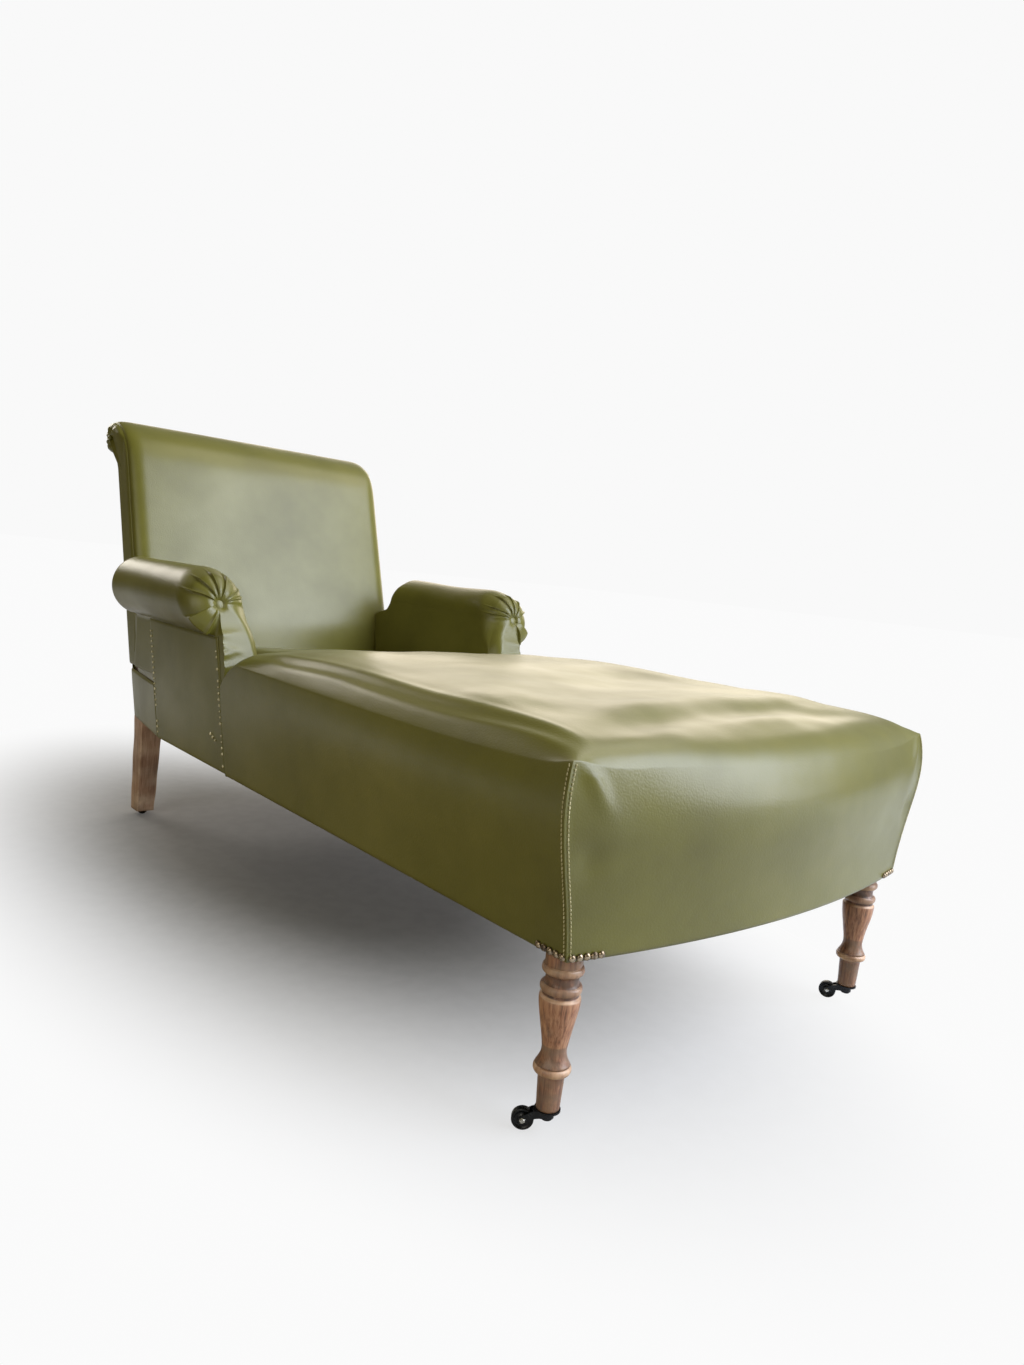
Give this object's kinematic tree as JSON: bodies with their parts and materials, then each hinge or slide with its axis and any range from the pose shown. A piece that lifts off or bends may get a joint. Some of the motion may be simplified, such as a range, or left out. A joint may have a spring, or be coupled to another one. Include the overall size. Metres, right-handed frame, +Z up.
{
  "type": "chaise longue",
  "caption": "Leathercloth chaise longue with a bowed foot end, rolled arms and a raked scroll back, on turned front legs with swivel castors and square rear legs.",
  "frame": {"origin": "on the floor, under the middle of the overall box", "axes": "+Z up, +Y from the foot end to the head, +X to the sitter's left when lying with the head at +Y"},
  "size_m": [0.79, 1.6798, 0.847],
  "materials": {
    "leathercloth": "semi-gloss olive",
    "stuffing": "matte fibre",
    "webbing": "woven",
    "hessian": "woven",
    "turned_wood": "worn stain",
    "bare_wood": "bare, worn",
    "frame_wood": "sawn",
    "iron": "black",
    "steel": "worn bright",
    "brass": "antique"
  },
  "bodies": {
    "frame": {"arm_buttons": "leathercloth", "arm_cover_left": "leathercloth", "arm_cover_right": "leathercloth", "arm_facing_left": "leathercloth", "arm_facing_right": "leathercloth", "arm_post_left": "frame_wood", "arm_post_right": "frame_wood", "arm_rail_left": "frame_wood", "arm_rail_right": "frame_wood", "arm_stuffing_left": "stuffing", "arm_stuffing_right": "stuffing", "arm_stump_left": "frame_wood", "arm_stump_right": "frame_wood", "back_cover": "leathercloth", "back_hessian": "hessian", "back_stuffing": "stuffing", "back_webbing": "webbing", "castor_plates": "iron", "corner_blocks": "frame_wood", "corner_nails": "brass", "cross_rail": "frame_wood", "dust_cover": "hessian", "foot_rail": "frame_wood", "front_legs": "turned_wood", "head_rail": "frame_wood", "outside_arm_left": "leathercloth", "outside_arm_right": "leathercloth", "outside_back": "leathercloth", "rear_glides": "iron", "rear_post_left": "bare_wood", "rear_post_right": "bare_wood", "rear_strip_left": "leathercloth", "rear_strip_right": "leathercloth", "scroll_buttons": "leathercloth", "scroll_facings": "leathercloth", "scroll_rail": "frame_wood", "seat_cover": "leathercloth", "seat_hessian": "hessian", "seat_stuffing": "stuffing", "seat_webbing": "webbing", "side_rail_left": "frame_wood", "side_rail_right": "frame_wood", "stay_rail": "frame_wood"},
    "castor_left": {"castor_horn_left": "iron", "castor_axle_left": "steel"},
    "wheel_left": {"castor_wheel_left": "iron"},
    "castor_right": {"castor_horn_right": "iron", "castor_axle_right": "steel"},
    "wheel_right": {"castor_wheel_right": "iron"}
  },
  "joints": [
    {"name": "castor_swivel_left", "type": "hinge", "parent": "frame", "child": "castor_left", "pos_m": [-0.315, -0.75692, 0.02], "axis": [0, 0, 1], "continuous": true},
    {"name": "castor_spin_left", "type": "hinge", "parent": "castor_left", "child": "wheel_left", "pos_m": [-0.3337, -0.73886, 0.0125], "axis": [-0.6947, -0.7193, 0], "continuous": true},
    {"name": "castor_swivel_right", "type": "hinge", "parent": "frame", "child": "castor_right", "pos_m": [0.315, -0.75692, 0.02], "axis": [0, 0, 1], "continuous": true},
    {"name": "castor_spin_right", "type": "hinge", "parent": "castor_right", "child": "wheel_right", "pos_m": [0.30526, -0.73281, 0.0125], "axis": [-0.9272, -0.3746, 0], "continuous": true}
  ]
}
